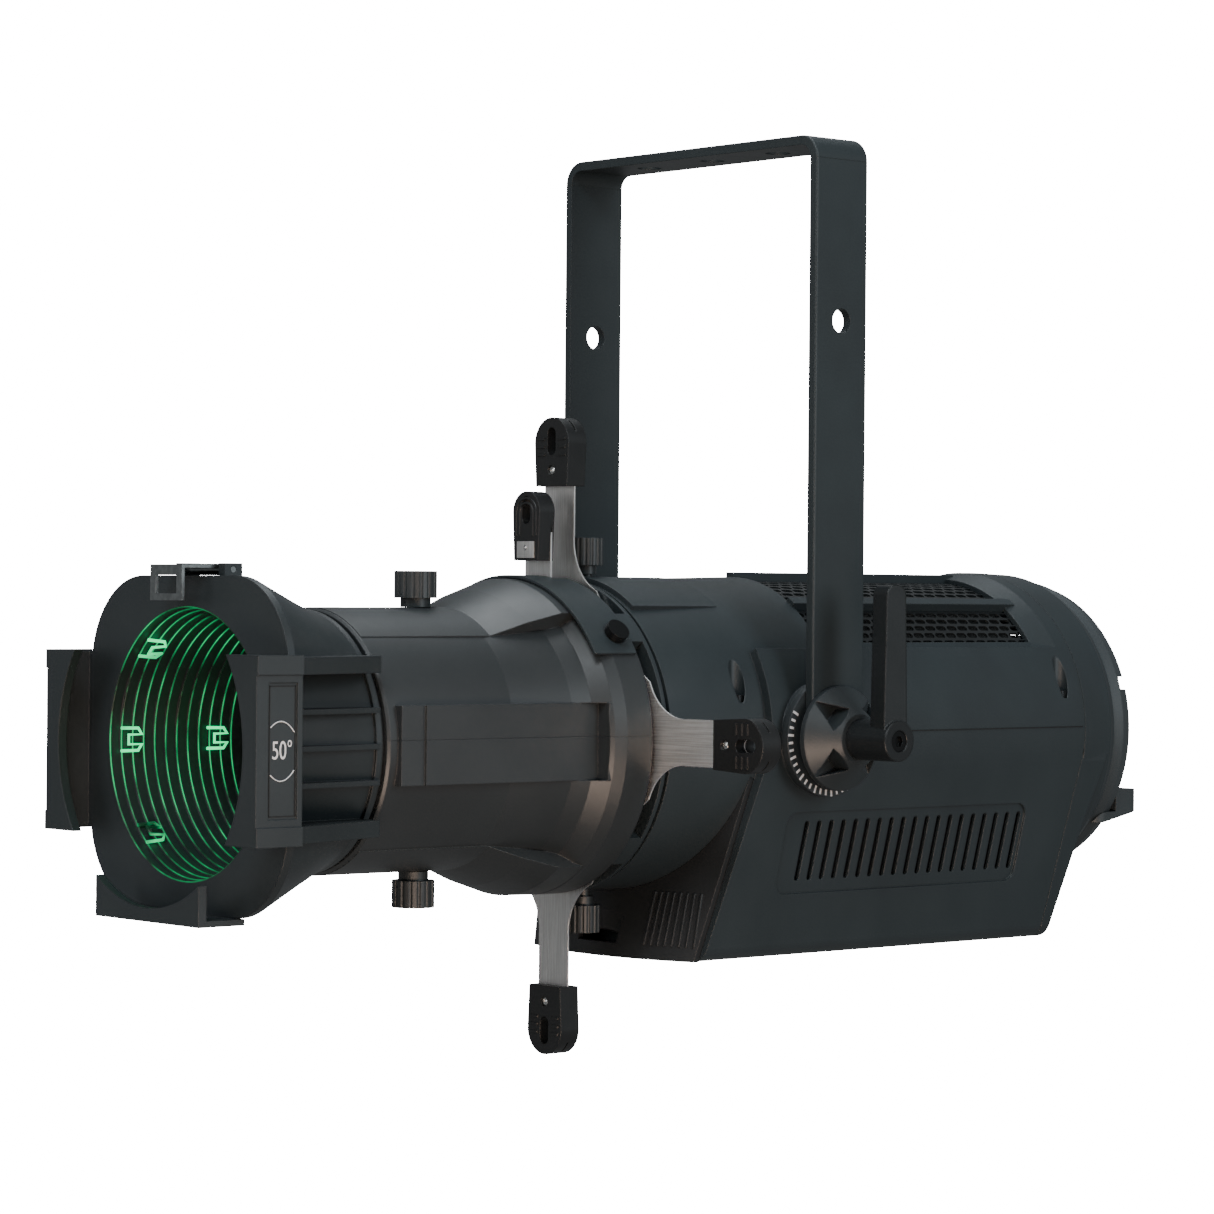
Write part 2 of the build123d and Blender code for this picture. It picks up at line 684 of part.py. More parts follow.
with BuildPart() as fan_frame:
    with BuildSketch(across(FAN_FRONT + FAN_DEPTH)):
        RectangleRounded(82, 82, 5)
        Circle(FAN_R + 1, mode=Mode.SUBTRACT)
        with GridLocations(71, 71, 2, 2):
            Circle(2.2, mode=Mode.SUBTRACT)
    extrude(amount=FAN_DEPTH)
    with BuildSketch(across(FAN_FRONT + 3)):
        Circle(16)
        with PolarLocations(0, 2):
            Rectangle(82, 4)
        with Locations((0, 0)):
            Rectangle(4, 80)
    extrude(amount=3)
    cylinder_y(2.0, FAN_FRONT + 3, FAN_FRONT + 12)
save(fan_frame, "fan_frame")

with BuildPart() as fan_rotor:
    cylinder_y(15, FAN_FRONT + 3.5, FAN_FRONT + FAN_DEPTH - 1)
    for number in range(7):
        blade_angle = number * 360 / 7
        with BuildSketch(radial_plane(blade_angle, 14.0)):
            with Locations((FAN_FRONT + FAN_DEPTH / 2 + 1, 0)):
                Rectangle(19.0, 1.8, rotation=50)
        extrude(amount=FAN_R - 14.5)
    cylinder_y(2.0 + RUNNING_GAP, FAN_FRONT, FAN_FRONT + 12, mode=Mode.SUBTRACT)
save(fan_rotor, "fan_rotor")

with BuildPart() as power_supply:
    block((-55, -40, -104), (55, 140, -101))
    block((-50, -34, -101), (50, 60, -78))
    block((-50, 68, -101), (-6, 134, -72))
    block((6, 68, -101), (50, 134, -66))
save(power_supply, "power_supply")

with BuildPart() as bearing_ring:
    ring(-91.9, -74, SPIGOT_R + RUNNING_GAP, DRUM_R - WALL - 0.1)
    cylinder_z(3.05, -90, 90, y=ROTATION_KNOB_Y, mode=Mode.SUBTRACT)
save(bearing_ring, "bearing_ring")


def clamp_knob(radius, low, high, stem_tip, stem_r, collar_r, y, side):
    """Fluted clamping knob on a stem, standing out of the top (side 1) or the bottom (-1)."""
    cylinder_z(radius, side * low, side * high, y=y)
    with BuildSketch(level(side * low)) as flutes:
        with Locations((0, y)):
            with PolarLocations(radius + 0.5, 16):
                Circle(1.1)
    extrude(flutes.sketch, amount=side * (high - low), mode=Mode.SUBTRACT)
    cylinder_z(collar_r, side * (low - 4.5), side * low, y=y)
    cylinder_z(stem_r, side * stem_tip, side * low, y=y)


for side, place in ((1, "top"), (-1, "bottom")):
    with BuildPart() as rotation_knob:
        clamp_knob(8.4, 87.0, 101.0, 70.0, 3.0, 5.0, ROTATION_KNOB_Y, side)
    save(rotation_knob, f"rotation_knob_{place}")
    with BuildPart() as focus_knob:
        clamp_knob(10.6, 69.6, 83.0, 57.8, 4.0, 7.5, FOCUS_KNOB_Y, side)
    save(focus_knob, f"focus_knob_{place}")

# ---------------------------------------------------------------- barrel
with BuildPart() as barrel_shell:
    turned(
        (BARREL_FRONT, 0),
        (BARREL_FRONT, BARREL_R - 1.0),
        (BARREL_FRONT + 1.5, BARREL_R),
        (-185, BARREL_R),
        (-150, 68.5),
        (-140, 71.5),
        (-132, 77.5),
        (-126, SHOULDER_R),
        (BARREL_REAR, SHOULDER_R),
        (BARREL_REAR, 0),
    )
    for middle in (0, 180):
        turned(
            (BARREL_FRONT + 2, BARREL_R - 2),
            (BARREL_FRONT + 2, BARREL_R + 0.4),
            (-181, BARREL_R + 0.8),
            (-162, 73.5),
            (-143, SHOULDER_R - 0.4),
            (-128, SHOULDER_R - 0.1),
            (-128, BARREL_R + 8),
            (-160, BARREL_R + 3),
            (-186, BARREL_R - 2),
            start=middle - SADDLE_ANGLE,
            arc=2 * SADDLE_ANGLE,
        )
    for side in (-1, 1):
        side_block(side, (55, BARREL_FRONT + 6, -PAD_HALF), (PAD_X, PAD_REAR, PAD_HALF))
        side_block(
            side, (PAD_X, -170, -PAD_HALF), (90, PAD_REAR, PAD_HALF), mode=Mode.SUBTRACT
        )
        side_block(
            side, (PAD_X - 1.2, -243, -PAD_HALF - 1), (90, -241, PAD_HALF + 1), mode=Mode.SUBTRACT
        )
    turned(
        (BARREL_FRONT - 1, 0),
        (BARREL_FRONT - 1, BARREL_BORE_R),
        (-185, BARREL_BORE_R),
        (-150, 64.8),
        (-128, 76.5),
        (BARREL_REAR + 1, 76.5),
        (BARREL_REAR + 1, 0),
        mode=Mode.SUBTRACT,
    )
    for side in (-1, 1):
        side_block(side, (63.5, -170, -PAD_HALF), (PAD_X, PAD_REAR + 3, PAD_HALF))
        side_block(side, (63.5, PAD_REAR, -PAD_HALF), (75, PAD_REAR + 3, PAD_HALF))
    with BuildSketch(level(0)):
        with Locations((0, FOCUS_KNOB_Y - 18)):
            SlotOverall(60.5, 9, rotation=90)
    extrude(amount=100, both=True, mode=Mode.SUBTRACT)

with BuildPart() as barrel_upper:
    add(barrel_shell.part)
    split(bisect_by=level(SEAM_Z), keep=Keep.TOP)
    block((-43, HOLDER_Y - 2.6, 50), (43, HOLDER_Y + 2.6, 90), mode=Mode.SUBTRACT)
save(barrel_upper, "barrel_upper")

with BuildPart() as barrel_lower:
    add(barrel_shell.part)
    split(bisect_by=level(SEAM_Z), keep=Keep.BOTTOM)
save(barrel_lower, "barrel_lower")

with BuildPart() as gate_ring:
    ring(BARREL_REAR - 2.5, BARREL_REAR, APERTURE_R, 76.3)
    for middle in (45, 135, 225, 315):
        ring(
            BARREL_REAR, -101.5, 67, 79.5,
            start=middle - POST_HALF_ANGLE, arc=2 * POST_HALF_ANGLE,
        )
    turned(
        (-101.5, APERTURE_R),
        (-101.5, 79.5),
        (-99, 79.5),
        (-99, SPIGOT_R),
        (-76, SPIGOT_R),
        (-76, 68),
        (-98, 68),
        (-98, APERTURE_R),
    )
    for side in (-1, 1):
        side_block(side, (42.3, HOLDER_Y - 3, -53.5), (47, BARREL_REAR - 2.5, 50))
        side_block(side, (38.5, HOLDER_Y - 3, -50), (43, HOLDER_Y - 2, 50))
    block((-47, HOLDER_Y - 3, -53.5), (47, BARREL_REAR - 2.5, -50.4))
    for low in (-80, 40):
        block((-37, -89, low), (37, -81, low + 40), mode=Mode.SUBTRACT)
save(gate_ring, "gate_ring")

with BuildPart() as slot_cover:
    ring(COVER_FRONT, COVER_REAR, SHOULDER_R + 0.1, COVER_R, start=-COVER_ANGLE, arc=2 * COVER_ANGLE)
    block((-14, HOLDER_Y - 2.5, 60), (14, COVER_REAR + 1, 95), mode=Mode.SUBTRACT)
    for side in (-1, 1):
        with BuildSketch(radial_plane(side * THUMB_ANGLE, 70)):
            with Locations((THUMB_Y + 4.5, 0)):
                SlotOverall(14, 4.6)
        extrude(amount=20, mode=Mode.SUBTRACT)
save(slot_cover, "slot_cover")

for side, name in ((1, "thumb_screw_right"), (-1, "thumb_screw_left")):
    with BuildPart() as thumb_screw:
        with BuildSketch(radial_plane(side * THUMB_ANGLE, COVER_R + GAP)):
            with Locations((THUMB_Y, 0)):
                Circle(6.0)
        extrude(amount=4.0)
        with BuildSketch(radial_plane(side * THUMB_ANGLE, SHOULDER_R + 0.1)):
            with Locations((THUMB_Y, 0)):
                Circle(2.0)
        extrude(amount=3)
    save(thumb_screw, name)

# ---------------------------------------------------------------- shutters and pattern holder
def blade_plane(y, angle):
    """Plane square to the beam whose local y points outwards, angle off the vertical."""
    turn = math.radians(angle)
    return Plane(
        origin=(0, y, AXIS_Z), x_dir=(math.cos(turn), 0, -math.sin(turn)), z_dir=(0, -1, 0)
    )


def blade(plane):
    """Shutter blade: wide root, concave neck and a straight tang inside the grip."""
    half = BLADE_WIDTH / 2
    neck = NECK_WIDTH / 2
    with BuildSketch(plane) as outline:
        with BuildLine():
            Polyline((neck, 102), (neck, 150), (-neck, 150), (-neck, 102))
            ThreePointArc((neck, 102), (15.0, 86), (29, 74))
            ThreePointArc((-neck, 102), (-15.0, 86), (-29, 74))
            Polyline((29, 74), (half, 64), (half, 42), (-half, 42), (-half, 64), (-29, 74))
        make_face()
    extrude(outline.sketch, amount=BLADE_THICKNESS / 2, both=True)


def grip(plane, start, end, width, thickness, hole_r):
    """Moulded grip with a rounded end, an oval hole, a screw hole and finger ribs."""
    half = width / 2
    with BuildSketch(plane) as outline:
        with BuildLine():
            Polyline((-half, end - half), (-half + 1.2, start), (half - 1.2, start), (half, end - half))
            ThreePointArc((half, end - half), (0, end), (-half, end - half))
        make_face()
        with Locations((0, end - half + 1)):
            SlotOverall(14, 6.5, rotation=90, mode=Mode.SUBTRACT)
        with Locations((0, start + 8)):
            Circle(hole_r, mode=Mode.SUBTRACT)
    extrude(outline.sketch, amount=thickness / 2, both=True)


shutter_angles = {"top": 0, "bottom": 180, "right": 90, "left": 270}
shutter_ys = {
    "top": SHUTTER_FRONT + 3 * SHUTTER_PITCH,
    "bottom": SHUTTER_FRONT + 2 * SHUTTER_PITCH,
    "right": SHUTTER_FRONT + SHUTTER_PITCH,
    "left": SHUTTER_FRONT,
}
for place, angle in shutter_angles.items():
    plane = blade_plane(shutter_ys[place], angle)
    with BuildPart() as shutter_blade:
        blade(plane)
        with BuildSketch(plane):
            with Locations((0, GRIP_START_R + 8)):
                Circle(2.6)
            with Locations((0, GRIP_END_R - GRIP_WIDTH / 2 + 1)):
                SlotOverall(14, 6.5, rotation=90)
        extrude(amount=2, both=True, mode=Mode.SUBTRACT)
    save(shutter_blade, f"shutter_{place}_blade")
    with BuildPart() as shutter_grip:
        grip(plane, GRIP_START_R, GRIP_END_R, GRIP_WIDTH, GRIP_THICKNESS, 2.6)
        with BuildSketch(plane):
            with Locations((0, 140)):
                Rectangle(NECK_WIDTH, 40)
        extrude(amount=BLADE_THICKNESS / 2, both=True, mode=Mode.SUBTRACT)
        for rib in range(3):
            for face in (-1, 1):
                for flank in (-1, 1):
                    with BuildSketch(plane.offset(face * GRIP_THICKNESS / 2)):
                        with Locations((flank * 8.0, 143 + rib * 4.0)):
                            Rectangle(6.0, 1.4)
                    extrude(amount=face * 0.6)
    save(shutter_grip, f"shutter_{place}_grip")

with BuildPart() as pattern_holder:
    half = HOLDER_WIDTH / 2
    with BuildSketch(across(HOLDER_Y)):
        with BuildLine():
            Polyline((10, 70), (10, 112), (-10, 112), (-10, 70))
            ThreePointArc((10, 70), (12.0, 64.5), (18, 62))
            ThreePointArc((-10, 70), (-12.0, 64.5), (-18, 62))
            Polyline((18, 62), (half, 58), (half, -50), (-half, -50), (-half, 58), (-18, 62))
        make_face()
        Circle(APERTURE_R - 4, mode=Mode.SUBTRACT)
    extrude(amount=0.5, both=True)
save(pattern_holder, "pattern_holder")

with BuildPart() as pattern_disc:
    ring(HOLDER_Y - 1.6, HOLDER_Y - 0.5, 0, APERTURE_R - 1)
    for radius, count, hole in ((0, 1, 5.0), (16, 6, 4.2), (27, 12, 2.6)):
        with BuildSketch(across(HOLDER_Y)):
            with PolarLocations(radius, count):
                Circle(hole)
        extrude(amount=4, mode=Mode.SUBTRACT)
save(pattern_disc, "pattern_disc")

with BuildPart() as pattern_grip:
    grip(across(HOLDER_GRIP_Y), 89.0, 124.0, 21.0, 10.0, 2.0)
    with BuildSketch(across(HOLDER_Y)):
        with Locations((0, 95)):
            Rectangle(20, 40)
    extrude(amount=0.5, both=True, mode=Mode.SUBTRACT)
save(pattern_grip, "pattern_grip")

# ---------------------------------------------------------------- lens tube
with BuildPart() as lens_tube:
    plate_rear = PLATE_FRONT + PLATE_THICKNESS
    with BuildSketch(across(plate_rear)):
        RectangleRounded(PLATE_WIDTH, PLATE_HEIGHT, PLATE_CORNER_R)
    extrude(amount=PLATE_THICKNESS)
    with BuildSketch(across(plate_rear)):
        RectangleRounded(PLATE_WIDTH, PLATE_HEIGHT, PLATE_CORNER_R)
    with BuildSketch(across(FLARE_REAR - 3)):
        Circle(FLARE_R)
    loft()
    for side in (-1, 1):
        side_block(
            side, (50, plate_rear, -34.5), (90, FLARE_REAR - 3.5, 34.5), mode=Mode.SUBTRACT
        )
    turned((plate_rear, 0), (plate_rear, 68.5), (FLARE_REAR - 3, 62.5), (FLARE_REAR - 3, 0))
    ring(FLARE_REAR - 3, FLARE_REAR, 0, FLARE_R)
    ring(FLARE_REAR, TUBE_REAR, 0, TUBE_R)
    for side in (-1, 1):
        for height, thickness, reach in FLARE_RIBS:
            with BuildSketch(level(height - thickness / 2)):
                with BuildLine():
                    Polyline(
                        (side * 56, plate_rear),
                        (side * reach, plate_rear),
                        (side * (reach - 2), plate_rear + 6),
                        (side * 65, FLARE_REAR - 2),
                        (side * 52, FLARE_REAR - 2),
                        close=True,
                    )
                make_face()
            extrude(amount=thickness)
    for step in range(BAFFLE_STEPS):
        front = PLATE_FRONT + step * BAFFLE_PITCH
        radius = OPENING_R - step * BAFFLE_TAPER
        cylinder_y(radius, front - 0.1, front + BAFFLE_PITCH, mode=Mode.SUBTRACT)
    cylinder_y(TUBE_BORE_R, PLATE_FRONT, TUBE_REAR + 1, mode=Mode.SUBTRACT)
    for side in (-1, 1):
        side_block(
            side,
            (BRACKET_X - BRACKET_WALL, BRACKET_FRONT, -BRACKET_HALF),
            (BRACKET_X, plate_rear, BRACKET_HALF),
        )
        side_block(
            side,
            (PLATE_WIDTH / 2 - 3, PLATE_FRONT, -BRACKET_HALF),
            (BRACKET_X - 1, plate_rear, BRACKET_HALF),
        )
        for low, high in ((-BRACKET_HALF - 1, -34.5), (34.5, BRACKET_HALF + 1)):
            side_block(
                side, (BRACKET_X, BRACKET_FRONT - 1, low), (BRACKET_X + 1, plate_rear, high)
            )
    block(
        (-BRACKET_HALF, BRACKET_FRONT, BRACKET_FOOT_Z),
        (BRACKET_HALF, plate_rear, BRACKET_FOOT_Z + 3.0),
    )
    with BuildSketch(across(BRACKET_FRONT + BRACKET_WALL)):
        for side in (-1, 1):
            with Locations((side * (BRACKET_X - 14), 0)):
                Rectangle(28, BRACKET_HALF * 2 + 2)
        with Locations((0, BRACKET_FOOT_Z + 12)):
            Rectangle(BRACKET_HALF * 2, 24)
        Circle(LIP_R, mode=Mode.SUBTRACT)
    extrude(amount=BRACKET_WALL + 1)
    for side in (-1, 1):
        side_block(side, (BRACKET_X - 0.8, -347, -31), (90, -331, 31), mode=Mode.SUBTRACT)
    hinge_y, hinge_z = CLIP_HINGE
    for x in (CLIP_X - 17.5, CLIP_X + 17.5):
        block((x - 2.5, hinge_y - 5, 74), (x + 2.5, hinge_y + 5, hinge_z + 3))
    cylinder_x(1.5 + RUNNING_GAP, -30, 30, y=hinge_y, z=hinge_z, mode=Mode.SUBTRACT)
    cylinder_z(4.05, -80, 80, y=FOCUS_KNOB_Y, mode=Mode.SUBTRACT)
save(lens_tube, "lens_tube")

with BuildPart() as frame_clip:
    cylinder_x(2.8, CLIP_X - 14.6, CLIP_X + 14.6, y=hinge_y, z=hinge_z)
    block((CLIP_X - 13, -345, hinge_z + 0.6), (CLIP_X + 13, hinge_y, hinge_z + 2.2))
    block((CLIP_X - 13, -346.4, 67.7), (CLIP_X + 13, -344.8, hinge_z + 2.2))
    block((CLIP_X - 8.5, -350, 71), (CLIP_X + 8.5, -340, 79.5), mode=Mode.SUBTRACT)
    cylinder_x(1.5, CLIP_X - 19.8, CLIP_X + 19.8, y=hinge_y, z=hinge_z)
save(frame_clip, "frame_clip")


def lens(edge_r, front, rear, front_sag, rear_sag):
    """Lens between two planes at its rim, bulging past each by its sag."""
    with BuildSketch(side_at(0)) as section:
        with BuildLine():
            Line((front, edge_r), (rear, edge_r))
            ThreePointArc((rear, edge_r), (rear + rear_sag, 0), (rear, -edge_r))
            Line((rear, -edge_r), (front, -edge_r))
            ThreePointArc((front, -edge_r), (front - front_sag, 0), (front, edge_r))
        make_face()
        with Locations(((front + rear) / 2, -edge_r)):
            Rectangle(80, 2 * edge_r, mode=Mode.SUBTRACT)
    revolve(section.sketch, axis=BEAM)


with BuildPart() as front_lens:
    lens(TUBE_BORE_R - 0.1, -246.0, -242.0, 12.0, 2.0)
save(front_lens, "front_lens")

with BuildPart() as rear_lens:
    lens(TUBE_BORE_R - 0.1, -186.0, -182.0, 2.0, 12.0)
save(rear_lens, "rear_lens")

with BuildPart() as lens_rings:
    ring(-241.5, -238.5, 52, TUBE_BORE_R - 0.1)
    ring(-189.5, -186.5, 52, TUBE_BORE_R - 0.1)
save(lens_rings, "lens_rings")
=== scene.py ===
import math

import bmesh
import bpy
from mathutils import Matrix, Vector


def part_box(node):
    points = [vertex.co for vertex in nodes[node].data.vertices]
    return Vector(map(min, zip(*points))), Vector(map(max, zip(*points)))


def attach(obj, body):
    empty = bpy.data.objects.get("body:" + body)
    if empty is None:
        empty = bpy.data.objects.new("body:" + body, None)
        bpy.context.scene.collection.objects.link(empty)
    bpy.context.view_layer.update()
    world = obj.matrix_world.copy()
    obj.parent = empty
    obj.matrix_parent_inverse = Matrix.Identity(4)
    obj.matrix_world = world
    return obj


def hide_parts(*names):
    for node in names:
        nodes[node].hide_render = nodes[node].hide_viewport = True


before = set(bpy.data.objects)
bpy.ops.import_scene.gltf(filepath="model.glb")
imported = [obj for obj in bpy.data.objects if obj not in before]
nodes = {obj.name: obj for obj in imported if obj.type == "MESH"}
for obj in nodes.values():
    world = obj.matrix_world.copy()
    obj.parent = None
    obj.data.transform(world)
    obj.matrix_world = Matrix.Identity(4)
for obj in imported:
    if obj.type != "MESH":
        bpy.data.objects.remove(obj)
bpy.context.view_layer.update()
scene = bpy.context.scene

AXIS_Z = (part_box("front_lens")[0].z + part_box("front_lens")[1].z) / 2
BOX_DEPTH = 0.113           # underside of the driver box, below the axis
WHITE = 24.0                # brightness of the pale surroundings as the camera sees them


# ---------------------------------------------------------------- camera
def place_camera():
    """Camera at the viewing angle of the reference."""
    turn, pitch, roll = (math.radians(v) for v in (49.07, -0.213, 0.498))
    forward = Vector(
        (-math.sin(turn) * math.cos(pitch), math.cos(turn) * math.cos(pitch), math.sin(pitch))
    )
    right = Vector((math.cos(turn), math.sin(turn), 0))
    up = right.cross(forward)
    right2 = right * math.cos(roll) + up * math.sin(roll)
    up2 = up * math.cos(roll) - right * math.sin(roll)
    data = bpy.data.cameras.new("camera")
    data.lens = 113.45
    data.sensor_width = 36.0
    data.clip_end = 60.0
    camera = bpy.data.objects.new("camera", data)
    scene.collection.objects.link(camera)
    rotation = Matrix((right2, up2, -forward)).transposed().to_4x4()
    camera.matrix_world = Matrix.Translation((1.489, -1.362, -0.233)) @ rotation
    scene.camera = camera


place_camera()


# ---------------------------------------------------------------- materials
def shader(name):
    """New node material, with its node tree, principled shader and object coordinates."""
    mat = bpy.data.materials.new(name)
    mat.use_nodes = True
    tree = mat.node_tree
    principled = tree.nodes["Principled BSDF"]
    coords = tree.nodes.new("ShaderNodeTexCoord")
    return mat, tree, principled, coords.outputs["Object"]


def noise(tree, vector, scale, detail=3.0, stretch=(1, 1, 1)):
    """Noise over the object coordinates, optionally stretched."""
    mapping = tree.nodes.new("ShaderNodeMapping")
    mapping.inputs["Scale"].default_value = stretch
    tree.links.new(vector, mapping.inputs["Vector"])
    node = tree.nodes.new("ShaderNodeTexNoise")
    node.inputs["Scale"].default_value = scale
    node.inputs["Detail"].default_value = detail
    tree.links.new(mapping.outputs["Vector"], node.inputs["Vector"])
    return node.outputs["Fac"]


def ramp(tree, value, stops):
    """Colour ramp from (position, colour) stops."""
    node = tree.nodes.new("ShaderNodeValToRGB")
    elements = node.color_ramp.elements
    for index, (position, colour) in enumerate(stops):
        element = elements[index] if index < 2 else elements.new(position)
        element.position = position
        element.color = (*colour, 1.0)
    tree.links.new(value, node.inputs["Fac"])
    return node.outputs["Color"]


def spread(tree, value, low, high):
    """Value in 0..1 mapped to low..high."""
    node = tree.nodes.new("ShaderNodeMapRange")
    node.inputs["To Min"].default_value = low
    node.inputs["To Max"].default_value = high
    tree.links.new(value, node.inputs["Value"])
    return node.outputs["Result"]


def rounded(tree, height, strength, distance, radius):
    """Normal with softened edges and a fine bump on top."""
    bump = tree.nodes.new("ShaderNodeBump")
    bump.inputs["Strength"].default_value = strength
    bump.inputs["Distance"].default_value = distance
    tree.links.new(height, bump.inputs["Height"])
    if radius:
        bevel = tree.nodes.new("ShaderNodeBevel")
        bevel.samples = 4
        bevel.inputs["Radius"].default_value = radius
        tree.links.new(bevel.outputs["Normal"], bump.inputs["Normal"])
    return bump.outputs["Normal"]


def coated(name, colour, rough=(0.38, 0.5), grain=1700.0, strength=0.35, edge=0.0007, metallic=0.0):
    """Powder coat or moulded plastic: cloudy colour, fine grain and softened edges."""
    mat, tree, principled, vector = shader(name)
    clouds = noise(tree, vector, 14.0, 4.0)
    dark = [c * 0.86 for c in colour]
    light = [min(1.0, c * 1.14) for c in colour]
    tree.links.new(
        ramp(tree, clouds, ((0.3, dark), (0.7, light))), principled.inputs["Base Color"]
    )
    smudge = noise(tree, vector, 55.0, 5.0)
    tree.links.new(spread(tree, smudge, *rough), principled.inputs["Roughness"])
    fine = noise(tree, vector, grain, 2.0)
    tree.links.new(rounded(tree, fine, strength, 0.00008, edge), principled.inputs["Normal"])
    principled.inputs["Metallic"].default_value = metallic
    return mat


def brushed(name, colour, stretch, rough=(0.24, 0.42)):
    """Brushed sheet steel with lines along the axis that stretch leaves short."""
    mat, tree, principled, vector = shader(name)
    lines = noise(tree, vector, 1.0, 6.0, stretch)
    dark = [c * 0.78 for c in colour]
    tree.links.new(
        ramp(tree, lines, ((0.35, dark), (0.65, colour))), principled.inputs["Base Color"]
    )
    tree.links.new(spread(tree, lines, *rough), principled.inputs["Roughness"])
    tree.links.new(rounded(tree, lines, 0.25, 0.00004, 0.0002), principled.inputs["Normal"])
    principled.inputs["Metallic"].default_value = 1.0
    return mat


def glass(name, tint):
    """Lens glass with a faint coating tint and slight smears."""
    mat, tree, principled, vector = shader(name)
    smears = noise(tree, vector, 30.0, 4.0)
    clear = [min(1.0, c * 1.05) for c in tint]
    tree.links.new(ramp(tree, smears, ((0.3, tint), (0.7, clear))), principled.inputs["Base Color"])
    tree.links.new(spread(tree, smears, 0.02, 0.09), principled.inputs["Roughness"])
    principled.inputs["Transmission Weight"].default_value = 0.85
    principled.inputs["IOR"].default_value = 1.5
    return mat


def glowing(name, colour, strength, scale=90.0):
    """Surface that gives light, a little uneven."""
    mat, tree, principled, vector = shader(name)
    patch = noise(tree, vector, scale, 2.0)
    dim = [c * 0.7 for c in colour]
    shade = ramp(tree, patch, ((0.35, dim), (0.65, colour)))
    tree.links.new(shade, principled.inputs["Base Color"])
    tree.links.new(shade, principled.inputs["Emission Color"])
    principled.inputs["Emission Strength"].default_value = strength
    return mat


def painted_beam_glow(name, colour, strength):
    """Black edge with a painted glow of coloured light on the far side, broken up along its length:
    emission stands in for beam light falling on it.
    """
    mat, tree, principled, vector = shader(name)
    split = tree.nodes.new("ShaderNodeSeparateXYZ")
    tree.links.new(vector, split.inputs["Vector"])
    # Painted light: the glow grows from +X towards the far, -X side.
    side = tree.nodes.new("ShaderNodeMapRange")
    side.inputs["From Min"].default_value = 0.050
    side.inputs["From Max"].default_value = -0.055
    tree.links.new(split.outputs["X"], side.inputs["Value"])
    broken = spread(tree, noise(tree, vector, 42.0, 5.0), -1.2, 2.2)
    product = tree.nodes.new("ShaderNodeMath")
    product.operation = "MULTIPLY"
    product.use_clamp = True
    tree.links.new(side.outputs["Result"], product.inputs[0])
    tree.links.new(broken, product.inputs[1])
    # Painted glow, and a greener base colour, where the beam would light the edge.
    glow = ramp(tree, product.outputs[0], ((0.05, (0.0, 0.012, 0.004)), (0.9, colour)))
    tree.links.new(glow, principled.inputs["Emission Color"])
    tree.links.new(
        ramp(tree, product.outputs[0], ((0.0, (0.01, 0.014, 0.013)), (1.0, (0.012, 0.03, 0.02)))),
        principled.inputs["Base Color"],
    )
    principled.inputs["Emission Strength"].default_value = strength
    principled.inputs["Roughness"].default_value = 0.35
    return mat


# Painted light: bore ridges and filter clips glow green where the beam would light them.
ridge_beam_glow = painted_beam_glow("green_lit_edge", (0.0, 0.70, 0.20), 0.95)
clip_beam_glow = painted_beam_glow("green_lit_clip", (0.0, 0.80, 0.24), 2.6)
body = coated("body_powder_coat", (0.020, 0.0275, 0.031))
tube = coated("lens_tube_coat", (0.018, 0.0235, 0.026), rough=(0.36, 0.5))
barrel = coated("barrel_coat", (0.022, 0.026, 0.028))
yoke_paint = coated("yoke_paint", (0.0155, 0.0225, 0.0255), rough=(0.42, 0.55), strength=0.25)
plastic = coated("black_plastic", (0.012, 0.0135, 0.0145), rough=(0.42, 0.6), grain=1100.0)
grip_plastic = coated("grip_plastic", (0.008, 0.009, 0.0095), rough=(0.3, 0.5), grain=900.0)
knob_plastic = coated("knob_plastic", (0.020, 0.025, 0.027), rough=(0.36, 0.5), edge=0.0004)
lever_coat = coated("lever_coat", (0.009, 0.011, 0.012), rough=(0.3, 0.42), edge=0.0012)
hub_plastic = coated("hub_plastic", (0.019, 0.025, 0.028), rough=(0.4, 0.55), edge=0.0008)
rear_plastic = coated("rear_plastic", (0.033, 0.041, 0.045), rough=(0.45, 0.6))
mesh_paint = coated("vent_mesh_paint", (0.011, 0.013, 0.014), rough=(0.3, 0.45), edge=0.0)
screw_black = coated(
    "black_screws", (0.010, 0.011, 0.012), rough=(0.25, 0.4), edge=0.0003, metallic=0.6
)
white_ink = coated("white_ink", (0.62, 0.64, 0.66), rough=(0.5, 0.6), edge=0.0)
# Painted shade: one near-black material for the seam gap, the label recess edges and the sheets
# behind the vents.
painted_shade = coated("shadow_line", (0.004, 0.005, 0.005), rough=(0.6, 0.8), edge=0.0)
# One blade steel brushed along Z and along X; the level copy is also painted lighter, painted light
# on the right and left blades.
steel_upright = brushed(
    "blade_steel_upright", (0.80, 0.79, 0.77), (2600, 2600, 45), rough=(0.34, 0.5)
)
steel_level = brushed(
    "blade_steel_level", (0.95, 0.94, 0.92), (45, 2600, 2600), rough=(0.46, 0.6)
)
plated = brushed("plated_steel", (0.32, 0.34, 0.34), (400, 400, 400), rough=(0.25, 0.35))
bright_screw = brushed("bright_screw", (0.62, 0.62, 0.60), (900, 900, 900), rough=(0.18, 0.3))
aluminium = brushed("bare_aluminium", (0.58, 0.59, 0.60), (300, 30, 300), rough=(0.3, 0.45))
lens_glass = glass("lens_glass", (0.80, 0.93, 0.86))
phosphor = glowing("light_engine", (0.95, 0.85, 0.35), 0.6)
board = coated("circuit_board", (0.02, 0.09, 0.035), rough=(0.35, 0.5), grain=300.0, edge=0.0)
fan_black = coated("fan_plastic", (0.010, 0.010, 0.011), rough=(0.35, 0.5), edge=0.0004)
display = coated(
    "display_glass", (0.010, 0.016, 0.028), rough=(0.06, 0.14), strength=0.02, edge=0.0003
)
